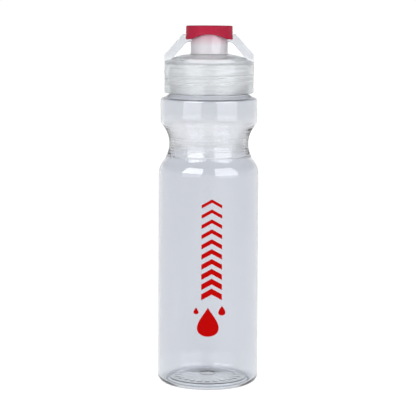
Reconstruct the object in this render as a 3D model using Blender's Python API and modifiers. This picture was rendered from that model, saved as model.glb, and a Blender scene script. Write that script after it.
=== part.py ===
"""Cage bottle for a bicycle: a clear body, and a frosted screw lid that carries a spout tube with two
finger arms, a seal, a valve seat and a push-pull cap.

Metres, +Z up along the bottle's axis, origin at the centre of the base. The front faces -Y and the arms
lie in the XZ plane. Every piece is turned about the Z axis, which is also the axis of each joint.
"""

import math

import bmesh
import bpy
from mathutils import Matrix, Vector

# Fits
GAP = 0.0003  # between pieces that touch on the real bottle
SLIDE_GAP = 0.00035  # around a piece that slides in another

# Body
BODY_RADIUS = 0.0369
BODY_TAPER = 0.0006  # how much narrower the lower body is at its shoulder
BODY_WALL = 0.0009
SHOULDER_HEIGHT = 0.2114  # where the neck stands on the shoulder
SHOULDER_SLOPE = math.radians(25)
BAND_RADIUS = 0.0349  # straight band between shoulder and waist
WAIST_RADIUS = 0.0283
WAIST_DROP = 0.0356  # from the neck's foot down to the narrowest place
WAIST_BEND = 0.021
FLANK_SLOPE = math.radians(38)  # of the waist's flanks, from upright
SHOULDER_ROUND = 0.0026
BAND_ROUND = 0.0055
LOWER_ROUND = 0.0135
BASE_ROUND = 0.0066
RING_WIDTH = 0.0010  # flat ring that the bottle stands on
PUSH_UP_RING = 0.0030  # height of the step inside that ring
PUSH_UP_SLANT = 0.00075  # of that step
PUSH_UP_ROUND = 0.0010
PUSH_UP_CENTRE = 0.0047
GATE_RADIUS = 0.0060
GATE_DEPTH = 0.0005

# Neck and thread
NECK_RADIUS = 0.02865
NECK_WALL = 0.0020
NECK_HEIGHT = 0.0192
NECK_ROUND = 0.0010
LIP_ROUND = 0.0005
THREAD_PITCH = 0.0044
THREAD_TURNS = 2.0
THREAD_DEPTH = 0.0015
THREAD_ROOT = 0.0017  # width of the ridge where it stands on its wall
THREAD_CREST = 0.0009
THREAD_BITE = 0.0005  # how deep a ridge is set in its wall
THREAD_SINK = 0.00015  # how far below its wall a ridge's crest starts
THREAD_CLEARANCE = 0.00045  # from a ridge's crest to the other piece's wall
THREAD_TOP_DROP = 0.0033  # from the lip down to the middle of the body's ridge at its top end
THREAD_FADE = math.radians(24)  # over which a ridge rises from its wall

# Seal
SEAL_THICKNESS = 0.0016
SEAL_WIDTH = 0.0043
SEAL_CHAMFER = 0.0004

# Lid
SKIRT_WALL = 0.0018
SKIRT_LIFT = 0.0011  # from the neck's foot to the skirt's lower edge
SKIRT_ROUND = 0.0004
RIM_PROUD = 0.00025  # of the lid's upper band over its skirt
RIM_HEIGHT = 0.0053
RIM_OVERLAP = 0.0008  # of the upper band above the seal's ceiling
ROOF_RISE = 0.00943  # of the domed roof, if it ran to the axis
ROOF_WALL = 0.0018
ROOF_ROUND = 0.0009
TUBE_RADIUS = 0.01343
TUBE_WALL = 0.0016
TUBE_HEIGHT = 0.0260  # above the roof's rim
TUBE_ROUND = 0.0004
BOSS_HEIGHT = 0.0030  # of the tube's lower end above the roof's rim

# Finger arms
ARM_PROUD = 0.00025  # of the arm's foot over the upper band
ARM_FOOT = 0.0022  # this height and the next are above the roof's rim
ARM_ELBOW = 0.0072
WEB_DROP = 0.0034  # from the tube's end down to the top of the web that joins arm and tube
WEB_HEIGHT = 0.0054
ARM_THICKNESS = 0.0060
ARM_REACH_IN = 0.0058  # from the tube to the arm's upper corner
ARM_FOOT_HALF_WIDTH = 0.0065
ARM_TOP_HALF_WIDTH = 0.0040
ARM_FOOT_DEPTH = 0.0024  # how far the foot runs into the roof
ELBOW_ROUND = 0.0015
CORNER_ROUND = 0.0012
LOOP_ROUND = 0.0050

# Valve seat
FLANGE_OVERHANG = 0.00357  # beyond the tube
FLANGE_THICKNESS = 0.0015
SPIGOT_WALL = 0.0016
SPIGOT_HEIGHT = 0.0065
POST_RADIUS = 0.0026
PLUG_RADIUS = 0.0039
PLUG_HEIGHT = 0.0012
PLUG_CONE = 0.0018
PLUG_ROUND = 0.0005
SPOKE_COUNT = 3
SPOKE_WIDTH = 0.0024
SPOKE_HEIGHT = 0.0028

# Pull cap
CAP_AIR = 0.00187  # between the tube and the cap's skirt
CAP_WALL = 0.0015
CAP_SPREAD = 0.0012  # how much wider the cap is at its lower edge
CAP_HEIGHT = 0.0098
CAP_PLATE = 0.0022
CAP_REST = 0.0005  # from the tube's end to the plate
CAP_ROUND = 0.0008
FLARE_HEIGHT = 0.0054  # over which the cap widens
ARCH_RISE = 0.0040
ARCH_SIDE = 0.0039  # from the end of an arch to the cap's lower edge beside it
ARCH_ROUND = 0.0040
ARCH_ROUND_SHIFT = 0.0010  # from an arch's end to the corner that this rounds
NOTCH_CLEARANCE = 0.0004
NOTCH_ROUND = 0.0010
SLEEVE_WALL = 0.0014
SLEEVE_REST = 0.0028  # from the valve seat's spigot up to the sleeve
DISH_RIM = 0.0068
DISH_DEPTH = 0.0008
DISH_ROUND = 0.0012

# Fineness
SEGMENTS = 40  # a turn, also of the threads, so that ridge and wall bend together
SMALL_SEGMENTS = 32
POST_SEGMENTS = 24
ARC_STEP = math.radians(15)
COARSE_ARC_STEP = math.radians(25)
NOTCH_ARC_STEP = math.radians(30)
LIP_ARC_STEP = math.radians(45)
ROOF_STEPS = 9
CEILING_STEPS = 5
ARCH_STEPS = 8  # on each side of an arch's top
MERGE = 0.00001
SHARP_ANGLE = math.radians(32)

# Worked out from the sizes above
LIP = SHOULDER_HEIGHT + NECK_HEIGHT
BORE_RADIUS = NECK_RADIUS - NECK_WALL
SKIRT_INNER = NECK_RADIUS + THREAD_DEPTH + THREAD_CLEARANCE
SKIRT_OUTER = SKIRT_INNER + SKIRT_WALL
SKIRT_LOW = SHOULDER_HEIGHT + SKIRT_LIFT
RIM_RADIUS = SKIRT_OUTER + RIM_PROUD
SEAL_LOW = LIP + GAP
CEILING = SEAL_LOW + SEAL_THICKNESS + GAP
SEAL_OUTER = SKIRT_INNER - GAP
SEAL_INNER = SEAL_OUTER - SEAL_WIDTH
LEDGE_RADIUS = SEAL_INNER - GAP
ROOF_BASE = CEILING - RIM_OVERLAP
TUBE_BORE = TUBE_RADIUS - TUBE_WALL
TUBE_TOP = ROOF_BASE + TUBE_HEIGHT
TUBE_LOW = ROOF_BASE + BOSS_HEIGHT
PLATE_LOW = TUBE_TOP + CAP_REST
CAP_TOP = PLATE_LOW + CAP_PLATE
CAP_LOW = CAP_TOP - CAP_HEIGHT
CAP_RADIUS = TUBE_RADIUS + CAP_AIR + CAP_WALL
CAP_FLARE = CAP_RADIUS + CAP_SPREAD
CUTTER_REACH = 2 * CAP_FLARE
DISH_RADIUS = CAP_RADIUS - DISH_RIM
ARM_REACH = RIM_RADIUS + ARM_PROUD
ARM_TOP = TUBE_TOP - WEB_DROP
HOLE_RADIUS = PLUG_RADIUS + GAP
FLANGE_TOP = TUBE_LOW - GAP
FLANGE_LOW = FLANGE_TOP - FLANGE_THICKNESS
FLANGE_RADIUS = TUBE_RADIUS + FLANGE_OVERHANG
SPIGOT_RADIUS = TUBE_BORE - GAP
SPIGOT_TOP = FLANGE_TOP + SPIGOT_HEIGHT


# Outlines: lists of (radius, height)


def rounded(corners, arc_step=ARC_STEP):
    """The outline through corners of (x, z, rounding). The straights beside a rounding limit it."""
    points = [Vector(corner[:2]) for corner in corners]
    turns = [0.0] * len(points)
    reach = [0.0] * len(points)
    for i in range(1, len(points) - 1):
        before = points[i] - points[i - 1]
        after = points[i + 1] - points[i]
        turns[i] = before.angle_signed(after)
        reach[i] = corners[i][2] * math.tan(abs(turns[i]) / 2)
    share = [1.0] * len(points)
    for i in range(len(points) - 1):
        straight = (points[i + 1] - points[i]).length
        asked = reach[i] + reach[i + 1]
        if asked > straight:
            share[i] = min(share[i], straight / asked)
            share[i + 1] = min(share[i + 1], straight / asked)
    outline = []
    for i, point in enumerate(points):
        if reach[i] == 0:
            outline.append(point)
            continue
        length = reach[i] * share[i]
        start = point + (points[i - 1] - point).normalized() * length
        end = point + (points[i + 1] - point).normalized() * length
        outline += arc(start, end, point, abs(turns[i]), arc_step)
    return without_repeats(outline)


def without_repeats(points):
    kept = []
    for point in points:
        if not kept or (point - kept[-1]).length > MERGE:
            kept.append(point)
    return [tuple(point) for point in kept]


def arc(start, end, corner, turn, arc_step):
    """Points on the circle that touches both sides of a corner at start and end."""
    middle = (start + end) / 2
    inward = (middle - corner).normalized()
    half_chord = (end - start).length / 2
    radius = half_chord / math.sin(turn / 2)
    centre = middle + inward * radius * math.cos(turn / 2)
    count = max(2, math.ceil(turn / arc_step))
    first = start - centre
    sweep = first.angle_signed(end - centre)
    return [centre + rotated(first, -sweep * k / count) for k in range(count + 1)]


def rotated(vector, angle):
    return Matrix.Rotation(angle, 2) @ vector


def inset(outline, wall):
    """The outline moved by the wall's thickness to the side that faces the axis on a way down."""
    points = [Vector(point) for point in outline]
    moved = []
    for i, point in enumerate(points):
        before = (point - points[i - 1]).normalized() if i else None
        after = (points[i + 1] - point).normalized() if i + 1 < len(points) else None
        sides = [Vector((way.y, -way.x)) for way in (before, after) if way is not None]
        normal = sum(sides, Vector((0, 0))).normalized()
        moved.append(tuple(point + normal * wall / normal.dot(sides[0])))
    return moved


def roof_height(radius, wall=0.0):
    """Height of the domed roof's outside, or of its inside when wall is its thickness."""
    share = min(1.0, radius / (RIM_RADIUS - wall))
    return ROOF_BASE + (ROOF_RISE - wall) * math.sqrt(1 - share**2)


def roof_outline(start, end, wall, count):
    """Points of the roof between two radii, evenly spaced in angle."""
    full = RIM_RADIUS - wall
    first, last = math.asin(start / full), math.asin(min(1.0, end / full))
    angles = [first + (last - first) * k / count for k in range(count + 1)]
    return [(full * math.sin(a), roof_height(full * math.sin(a), wall)) for a in angles]


# Objects


def collection(name):
    made = bpy.data.collections.new(name)
    bpy.context.scene.collection.children.link(made)
    return made


def plastic(name, colour, roughness, transmission=0.0):
    material = bpy.data.materials.new(name)
    material.use_nodes = True
    shader = material.node_tree.nodes["Principled BSDF"]
    shader.inputs["Base Color"].default_value = (*colour, 1)
    shader.inputs["Roughness"].default_value = roughness
    shader.inputs["Metallic"].default_value = 0.0
    shader.inputs["Transmission Weight"].default_value = transmission
    return material


def add_object(name, mesh, group):
    obj = bpy.data.objects.new(name, mesh)
    group.objects.link(obj)
    return obj


def turned(name, outline, group, closed, segments=SEGMENTS):
    """An outline at +X, running down its outer side, turned about the Z axis."""
    mesh = bpy.data.meshes.new(name)
    count = len(outline)
    edges = [(i, i + 1) for i in range(count - 1)]
    if closed:
        edges.append((count - 1, 0))
    mesh.from_pydata([(r, 0, z) for r, z in outline], edges, [])
    obj = add_object(name, mesh, group)
    screw = obj.modifiers.new("turn", "SCREW")
    screw.axis = "Z"
    screw.angle = math.tau
    screw.steps = segments
    screw.render_steps = segments
    screw.use_merge_vertices = True
    screw.merge_threshold = MERGE
    screw.use_normal_calculate = False
    return obj


def upright_plate(name, outline, half_thickness, group):
    """A flat outline in the XZ plane, extruded both ways along Y, as a welded mesh."""
    curve = bpy.data.curves.new(name, "CURVE")
    curve.dimensions = "2D"
    curve.fill_mode = "BOTH"
    curve.extrude = half_thickness
    spline = curve.splines.new("POLY")
    spline.points.add(len(outline) - 1)
    for point, (x, z) in zip(spline.points, outline):
        point.co = (x, z, 0, 1)
    spline.use_cyclic_u = True
    drawn = bpy.data.objects.new(name + "_curve", curve)
    group.objects.link(drawn)
    drawn.rotation_euler.x = math.pi / 2
    bpy.context.view_layer.update()
    evaluated = drawn.evaluated_get(bpy.context.evaluated_depsgraph_get())
    mesh = bpy.data.meshes.new_from_object(evaluated)
    mesh.transform(drawn.matrix_world)
    weld(mesh)
    bpy.data.objects.remove(drawn)
    return add_object(name, mesh, group)


def weld(mesh):
    shape = bmesh.new()
    shape.from_mesh(mesh)
    bmesh.ops.remove_doubles(shape, verts=shape.verts, dist=MERGE)
    bmesh.ops.recalc_face_normals(shape, faces=shape.faces)
    shape.to_mesh(mesh)
    shape.free()


def mirrored_pair(obj):
    """Adds the copy on the other side of the YZ plane, as a second closed body."""
    mirror = obj.modifiers.new("other_side", "MIRROR")
    mirror.use_axis = (True, False, False)
    mirror.use_mirror_merge = False
    mirror.merge_threshold = MERGE
    return obj


def combine(obj, other, operation):
    modifier = obj.modifiers.new(other.name, "BOOLEAN")
    modifier.operation = operation
    modifier.solver = "EXACT"
    modifier.object = other


def hide_tool(obj):
    obj.hide_render = True
    obj.display_type = "WIRE"
    return obj


def finish(obj, material):
    """Makes the modifiers' result the object's mesh, shades it smooth with sharp edges, colours it."""
    bpy.context.view_layer.update()
    evaluated = obj.evaluated_get(bpy.context.evaluated_depsgraph_get())
    mesh = bpy.data.meshes.new_from_object(evaluated)
    obj.modifiers.clear()
    obj.data = mesh
    mesh.name = obj.name
    mesh.materials.clear()
    mesh.materials.append(material)
    mesh.shade_smooth()
    mesh.set_sharp_from_angle(angle=SHARP_ANGLE)
    return obj


def thread_ridge(name, wall_radius, outward, top, turns, group):
    """A helical ridge on a wall, right-handed, with ends that rise from the wall.

    outward is 1 on a neck and -1 inside a lid. top is the height of the ridge's middle at its upper end.
    """
    steps = round(turns * SEGMENTS)
    root = wall_radius - outward * THREAD_BITE
    length = turns * math.tau
    shape = bmesh.new()
    rings = []
    for i in range(steps + 1):
        angle = length * i / steps
        rise = min(1.0, min(angle, length - angle) / THREAD_FADE)
        crest = wall_radius + outward * (THREAD_DEPTH * rise - THREAD_SINK * (1 - rise))
        height = top - THREAD_PITCH * (turns - angle / math.tau)
        rings.append(ridge_section(shape, angle, root, crest, height))
    for lower, upper in zip(rings, rings[1:]):
        for k in range(4):
            corners = (lower[k], lower[k - 1], upper[k - 1], upper[k])
            shape.faces.new(corners)
    shape.faces.new(rings[0])
    shape.faces.new(reversed(rings[-1]))
    bmesh.ops.recalc_face_normals(shape, faces=shape.faces)
    mesh = bpy.data.meshes.new(name)
    shape.to_mesh(mesh)
    shape.free()
    return hide_tool(add_object(name, mesh, group))


def ridge_section(shape, angle, root, crest, height):
    """Four corners of the ridge's section, standing across its wall."""
    profile = (
        (root, -THREAD_ROOT / 2),
        (crest, -THREAD_CREST / 2),
        (crest, THREAD_CREST / 2),
        (root, THREAD_ROOT / 2),
    )
    across = Vector((math.cos(angle), math.sin(angle), 0))
    return [shape.verts.new(across * r + Vector((0, 0, height + z))) for r, z in profile]


# Pieces


def body_corners():
    """Corners of the body's outside from the neck's foot down to the centre of its base."""
    upper_radius = BODY_RADIUS - BODY_TAPER
    waist = SHOULDER_HEIGHT - WAIST_DROP
    vertex = WAIST_RADIUS - WAIST_BEND * (1 / math.cos(FLANK_SLOPE) - 1)
    band_low = waist + (BAND_RADIUS - vertex) / math.tan(FLANK_SLOPE)
    lower_top = waist - (upper_radius - vertex) / math.tan(FLANK_SLOPE)
    band_top = SHOULDER_HEIGHT - (BAND_RADIUS - NECK_RADIUS) * math.tan(SHOULDER_SLOPE)
    ring = BODY_RADIUS - BASE_ROUND - RING_WIDTH
    return [
        (NECK_RADIUS, SHOULDER_HEIGHT + NECK_ROUND, 0),
        (NECK_RADIUS, SHOULDER_HEIGHT, NECK_ROUND),
        (BAND_RADIUS, band_top, SHOULDER_ROUND),
        (BAND_RADIUS, band_low, BAND_ROUND),
        (vertex, waist, WAIST_BEND),
        (upper_radius, lower_top, LOWER_ROUND),
        (BODY_RADIUS, BASE_ROUND, 0),
        (BODY_RADIUS, 0, BASE_ROUND),
        (ring, 0, 0),
        (ring - PUSH_UP_SLANT, PUSH_UP_RING, PUSH_UP_ROUND),
        (GATE_RADIUS, PUSH_UP_CENTRE, 0),
        (GATE_RADIUS - GATE_DEPTH, PUSH_UP_CENTRE - GATE_DEPTH, 0),
        (0, PUSH_UP_CENTRE - GATE_DEPTH, 0),
    ]


def bottle_body(group, tools, material):
    outside = rounded(body_corners())
    inside = inset(rounded(body_corners(), COARSE_ARC_STEP), BODY_WALL)
    inside = [(max(r, 0), z) for r, z in inside if z < SHOULDER_HEIGHT or r < BORE_RADIUS]
    neck_foot = SHOULDER_HEIGHT + NECK_ROUND + NECK_WALL - BODY_WALL
    outline = inside[::-1] + [(BORE_RADIUS, neck_foot)]
    outline += rounded(
        [
            (BORE_RADIUS, neck_foot + NECK_ROUND, 0),
            (BORE_RADIUS, LIP, LIP_ROUND),
            (NECK_RADIUS, LIP, LIP_ROUND),
            (NECK_RADIUS, LIP - NECK_ROUND, 0),
        ],
        LIP_ARC_STEP,
    )
    outline += outside
    body = turned("bottle_body", outline, group, closed=False)
    ridge = thread_ridge("neck_ridge", NECK_RADIUS, 1, LIP - THREAD_TOP_DROP, THREAD_TURNS, tools)
    combine(body, ridge, "UNION")
    return finish(body, material)


def lid_seal(group, material):
    top = SEAL_LOW + SEAL_THICKNESS
    ring = [
        (SEAL_OUTER - SEAL_CHAMFER, top),
        (SEAL_OUTER, top - SEAL_CHAMFER),
        (SEAL_OUTER, SEAL_LOW),
        (SEAL_INNER, SEAL_LOW),
        (SEAL_INNER, top),
    ]
    return finish(turned("lid_seal", ring, group, closed=True), material)


def lid_outline():
    root = roof_height(TUBE_RADIUS)
    step = ROOF_BASE - RIM_HEIGHT
    roof = roof_outline(TUBE_RADIUS + ROOF_ROUND * 2, RIM_RADIUS, 0, ROOF_STEPS)
    outside = rounded(
        [
            (TUBE_BORE, TUBE_TOP, 0),
            (TUBE_RADIUS, TUBE_TOP, TUBE_ROUND),
            (TUBE_RADIUS, root, ROOF_ROUND),
            roof[0] + (0,),
        ]
    )
    outside += roof[1:]
    outside += rounded(
        [
            (RIM_RADIUS, step, 0),
            (SKIRT_OUTER, step - RIM_PROUD, 0),
            (SKIRT_OUTER, SKIRT_LOW, SKIRT_ROUND),
            (SKIRT_INNER, SKIRT_LOW, SKIRT_ROUND),
            (SKIRT_INNER, CEILING, 0),
            (LEDGE_RADIUS, CEILING, 0),
        ]
    )
    ceiling = roof_outline(TUBE_RADIUS, LEDGE_RADIUS, ROOF_WALL, CEILING_STEPS)
    return outside + ceiling[::-1] + [(TUBE_RADIUS, TUBE_LOW), (TUBE_BORE, TUBE_LOW)]


def arm_half_width(height):
    """Half of the arm's width along Y, which narrows from its foot to its top."""
    low = ROOF_BASE + ARM_FOOT
    share = (height - low) / (ARM_TOP - low)
    return ARM_FOOT_HALF_WIDTH + (ARM_TOP_HALF_WIDTH - ARM_FOOT_HALF_WIDTH) * share


def arm_outline():
    foot = ROOF_BASE + ARM_FOOT
    elbow = ROOF_BASE + ARM_ELBOW
    web_low = ARM_TOP - WEB_HEIGHT
    in_tube = TUBE_RADIUS - TUBE_WALL / 2
    corner = TUBE_RADIUS + ARM_REACH_IN
    slant = Vector((corner - ARM_REACH, ARM_TOP - elbow)).normalized()
    inner = Vector((ARM_REACH, elbow)) + Vector((-slant.y, slant.x)) * ARM_THICKNESS
    loop_corner = inner + slant * (web_low - inner.y) / slant.y
    root = inner.copy()
    while root.y < roof_height(root.x) - ROOF_WALL / 2:
        root += slant * GAP
    return rounded(
        [
            (ARM_REACH, foot, 0),
            (ARM_REACH, elbow, ELBOW_ROUND),
            (corner, ARM_TOP, CORNER_ROUND),
            (in_tube, ARM_TOP, 0),
            (in_tube, web_low, 0),
            (*loop_corner, LOOP_ROUND),
            (*root, 0),
            (ARM_REACH - ARM_FOOT_DEPTH, foot, 0),
        ]
    )


def finger_arms(tools):
    """Both arms, narrowing upwards, with outer faces rounded to the lid's radius."""
    arms = upright_plate("finger_arms", arm_outline(), ARM_FOOT_HALF_WIDTH, tools)
    for vertex in arms.data.vertices:
        vertex.co.y = math.copysign(arm_half_width(vertex.co.z), vertex.co.y)
    mirrored_pair(arms)
    cylinder = [(0, CAP_TOP), (ARM_REACH, CAP_TOP), (ARM_REACH, SKIRT_LOW), (0, SKIRT_LOW)]
    combine(arms, hide_tool(turned("arm_reach", cylinder, tools, closed=False)), "INTERSECT")
    return hide_tool(arms)


def lid(group, tools, material):
    """The thread inside stands below the neck's, so that its upper flank bears when the lid is tight."""
    shell = turned("lid", lid_outline(), group, closed=True)
    ridge_drop = (THREAD_ROOT + THREAD_CREST) / 2 + GAP
    top = LIP - THREAD_TOP_DROP - ridge_drop
    ridge = thread_ridge("lid_ridge", SKIRT_INNER, -1, top, THREAD_TURNS, tools)
    combine(shell, finger_arms(tools), "UNION")
    combine(shell, ridge, "UNION")
    return finish(shell, material)


def valve_seat(group, tools, material):
    """A flange with a spigot in the tube, and on spokes the post whose plug closes the cap's hole."""
    spigot_inner = SPIGOT_RADIUS - SPIGOT_WALL
    ring = [
        (SPIGOT_RADIUS, SPIGOT_TOP),
        (SPIGOT_RADIUS, FLANGE_TOP),
        (FLANGE_RADIUS, FLANGE_TOP),
        (FLANGE_RADIUS, FLANGE_LOW),
        (spigot_inner, FLANGE_LOW),
        (spigot_inner, SPIGOT_TOP),
    ]
    seat = turned("valve_seat", ring, group, closed=True, segments=SMALL_SEGMENTS)
    plug_top = CAP_TOP - DISH_DEPTH
    plug_low = plug_top - PLUG_HEIGHT
    post = rounded(
        [
            (0, plug_top, 0),
            (PLUG_RADIUS, plug_top, PLUG_ROUND),
            (PLUG_RADIUS, plug_low, 0),
            (POST_RADIUS, plug_low - PLUG_CONE, 0),
            (POST_RADIUS, FLANGE_LOW, 0),
            (0, FLANGE_LOW, 0),
        ]
    )
    stem = hide_tool(turned("valve_post", post, tools, closed=False, segments=POST_SEGMENTS))
    combine(seat, stem, "UNION")
    for spoke in spokes(SPIGOT_RADIUS - SPIGOT_WALL / 2, tools):
        combine(seat, spoke, "UNION")
    return finish(seat, material)


def spokes(reach, tools):
    """Bars from the post's middle out into the spigot's wall."""
    made = []
    for i in range(SPOKE_COUNT):
        mesh = bpy.data.meshes.new("spoke")
        shape = bmesh.new()
        size = Vector((reach, SPOKE_WIDTH, SPOKE_HEIGHT))
        place = Matrix.Translation((reach / 2, 0, FLANGE_LOW + SPOKE_HEIGHT / 2))
        turn = Matrix.Rotation(math.tau * i / SPOKE_COUNT + math.pi, 4, "Z")
        bmesh.ops.create_cube(shape, size=1, matrix=turn @ place @ Matrix.Diagonal((*size, 1)))
        shape.to_mesh(mesh)
        shape.free()
        made.append(hide_tool(add_object(f"spoke_{i + 1}", mesh, tools)))
    return made


def crown_outline():
    """The cap's plate and skirt: outside from the dish to the lower edge, then inside back up."""
    flare_top = CAP_LOW + FLARE_HEIGHT
    outside = rounded(
        [
            (HOLE_RADIUS, CAP_TOP - DISH_DEPTH, 0),
            (DISH_RADIUS, CAP_TOP - DISH_DEPTH, DISH_ROUND),
            (DISH_RADIUS + DISH_DEPTH, CAP_TOP, DISH_ROUND),
            (CAP_RADIUS, CAP_TOP, CAP_ROUND),
            (CAP_RADIUS, flare_top, FLARE_HEIGHT),
            (CAP_FLARE, CAP_LOW, 0),
        ]
    )
    inside = [
        (CAP_FLARE - CAP_WALL, CAP_LOW),
        (CAP_RADIUS - CAP_WALL, flare_top),
        (CAP_RADIUS - CAP_WALL, PLATE_LOW),
        (HOLE_RADIUS, PLATE_LOW),
    ]
    return outside + inside


def arch_cutter(tools):
    """Cuts the arches in the cap's front and back."""
    peak = CAP_LOW + ARCH_RISE
    below = CAP_LOW - CAP_HEIGHT
    half_span = CAP_FLARE - ARCH_SIDE
    bow_radius = (half_span**2 + ARCH_RISE**2) / (2 * ARCH_RISE)
    bow = []
    for k in range(1, 2 * ARCH_STEPS):
        x = half_span * (k / ARCH_STEPS - 1)
        drop = bow_radius - math.sqrt(bow_radius**2 - x**2)
        bow.append((x, peak - drop, 0))
    corners = [
        (-CUTTER_REACH, below, 0),
        (-CUTTER_REACH, CAP_LOW, 0),
        (-half_span - ARCH_ROUND_SHIFT, CAP_LOW, ARCH_ROUND),
        *bow[1:-1],
        (half_span + ARCH_ROUND_SHIFT, CAP_LOW, ARCH_ROUND),
        (CUTTER_REACH, CAP_LOW, 0),
        (CUTTER_REACH, below, 0),
    ]
    return hide_tool(upright_plate("arch_cutter", rounded(corners), CUTTER_REACH, tools))


def notch_cutter(tools):
    """Cuts the slots in the cap's sides that slide over the arms' webs."""
    half_width = arm_half_width(CAP_LOW) + NOTCH_CLEARANCE
    top = ARM_TOP + NOTCH_CLEARANCE
    below = CAP_LOW - CAP_HEIGHT
    outline = rounded(
        [
            (-half_width, below, 0),
            (-half_width, top, NOTCH_ROUND),
            (half_width, top, NOTCH_ROUND),
            (half_width, below, 0),
        ],
        NOTCH_ARC_STEP,
    )
    cutter = upright_plate("notch_cutter", outline, CUTTER_REACH, tools)
    cutter.data.transform(Matrix.Rotation(math.pi / 2, 4, "Z"))
    return hide_tool(cutter)


def pull_cap(group, tools, material):
    cap = turned("pull_cap", crown_outline(), group, closed=True, segments=SMALL_SEGMENTS)
    outer = TUBE_BORE - SLIDE_GAP
    inner = outer - SLEEVE_WALL
    low = SPIGOT_TOP + SLEEVE_REST
    into_plate = PLATE_LOW + (CAP_PLATE - DISH_DEPTH) / 2
    sleeve = [(outer, into_plate), (outer, low), (inner, low), (inner, into_plate)]
    combine(cap, arch_cutter(tools), "DIFFERENCE")
    combine(cap, notch_cutter(tools), "DIFFERENCE")
    tube = hide_tool(turned("cap_sleeve", sleeve, tools, closed=True, segments=SMALL_SEGMENTS))
    combine(cap, tube, "UNION")
    return finish(cap, material)


def build():
    for obj in list(bpy.data.objects):
        bpy.data.objects.remove(obj)
    parts = collection("water_bottle")
    tools = collection("cutters")
    clear = plastic("clear_plastic", (0.82, 0.85, 0.88), 0.06, transmission=1.0)
    frosted = plastic("frosted_plastic", (0.84, 0.86, 0.89), 0.45, transmission=0.6)
    milky = plastic("milky_plastic", (0.88, 0.86, 0.88), 0.4)
    red = plastic("red_plastic", (0.48, 0.03, 0.06), 0.35)
    silicone = plastic("seal_silicone", (0.8, 0.8, 0.8), 0.6)
    bottle_body(parts, tools, clear)
    lid_seal(parts, silicone)
    lid(parts, tools, frosted)
    valve_seat(parts, tools, milky)
    pull_cap(parts, tools, red)


build()
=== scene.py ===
"""Looks of the cage bottle, on a white studio floor. Metres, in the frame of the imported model.

A clear blow-moulded body with a gripped waist and a one-colour print, a frosted lid with finger arms
and a red pull cap are made here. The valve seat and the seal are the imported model's own.
"""

import math

import bmesh
import bpy
from mathutils import Matrix, Vector


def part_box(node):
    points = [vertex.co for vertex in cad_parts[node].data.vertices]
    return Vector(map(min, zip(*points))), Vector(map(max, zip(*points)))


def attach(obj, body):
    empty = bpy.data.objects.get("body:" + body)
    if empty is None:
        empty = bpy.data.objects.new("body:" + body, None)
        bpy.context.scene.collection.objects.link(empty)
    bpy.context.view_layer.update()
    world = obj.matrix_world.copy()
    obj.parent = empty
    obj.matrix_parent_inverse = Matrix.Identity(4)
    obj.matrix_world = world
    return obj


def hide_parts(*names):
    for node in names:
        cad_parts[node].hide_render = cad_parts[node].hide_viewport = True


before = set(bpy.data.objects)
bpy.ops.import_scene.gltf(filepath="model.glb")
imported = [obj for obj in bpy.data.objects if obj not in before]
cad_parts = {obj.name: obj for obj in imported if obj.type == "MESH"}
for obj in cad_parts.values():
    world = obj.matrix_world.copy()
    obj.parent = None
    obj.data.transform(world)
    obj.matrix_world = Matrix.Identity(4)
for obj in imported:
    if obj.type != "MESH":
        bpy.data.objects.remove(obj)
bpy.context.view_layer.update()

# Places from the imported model
BODY_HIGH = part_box("bottle_body")[1]
LID_LOW, LID_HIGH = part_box("lid")
CAP_LOW_CORNER, CAP_HIGH_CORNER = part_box("pull_cap")
SEAL_LOW, SEAL_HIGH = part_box("lid_seal")

BODY_RADIUS = BODY_HIGH.x
LIP = BODY_HIGH.z
SKIRT_LOW = LID_LOW.z
TUBE_TOP = LID_HIGH.z
ARM_REACH = LID_HIGH.x
CAP_TOP = CAP_HIGH_CORNER.z

# Body
BODY_TAPER = 0.0006  # how much narrower the lower body is at its shoulder
BODY_WALL = 0.0009
BASE_EXTRA = 0.0004  # how much thicker the wall is at the foot
BASE_THICK_HEIGHT = 0.006
NECK_RADIUS = 0.02865
NECK_WALL = 0.0020
NECK_HEIGHT = 0.0192
NECK_FOOT = LIP - NECK_HEIGHT
NECK_ROUND = 0.0012
SHOULDER_SLOPE = math.radians(25)
SHOULDER_ROUND = 0.0026
BAND_RADIUS = 0.0351  # straight band between the shoulder and the waist
BAND_ROUND = 0.0045
WAIST_RADIUS = 0.0283
WAIST_DROP = 0.0352  # from the neck's foot down to the narrowest place
WAIST_BEND = 0.021
WAIST = NECK_FOOT - WAIST_DROP
UPPER_SLOPE = math.radians(40)  # of the waist's upper flank, from upright
FLANK_SLOPE = math.radians(38)  # of its lower flank
LOWER_ROUND = 0.0125
BASE_ROUND = 0.0060
RING_WIDTH = 0.0010  # flat ring that the bottle stands on
PUSH_UP_RING = 0.0030  # height of the step inside that ring
PUSH_UP_CENTRE = 0.0047
GATE_RADIUS = 0.0060
GATE_DEPTH = 0.0005

# Short moulded ribs that stand down from the push-up
RIBS = 24
RIB_RISE = 0.0003
RIB_INNER = 0.0190
RIB_OUTER = 0.0240
RIB_FADE = 0.0016
RIB_EDGE = 0.35  # softness of a rib's sides, on the scale of its cosine wave
RIB_STEP = 0.0008  # between the rows of points across the push-up

# Grip: diamonds between crossing grooves, in the hollow of the waist
DIAMONDS = 72
DIAMOND_HEIGHT = 0.0040
DIAMOND_RISE = 0.00048  # of their tops over the grooves' bottoms
DIAMOND_SIDES = 2  # how steep the grooves are: 1 leaves a diamond no flat top
GRIP_DOWN = 0.0108  # how far the grip reaches below and above the narrowest place
GRIP_UP = 0.0140
GRIP_LOW = WAIST - GRIP_DOWN
GRIP_HIGH = WAIST + GRIP_UP
GRIP_FADE = 0.0018

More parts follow.
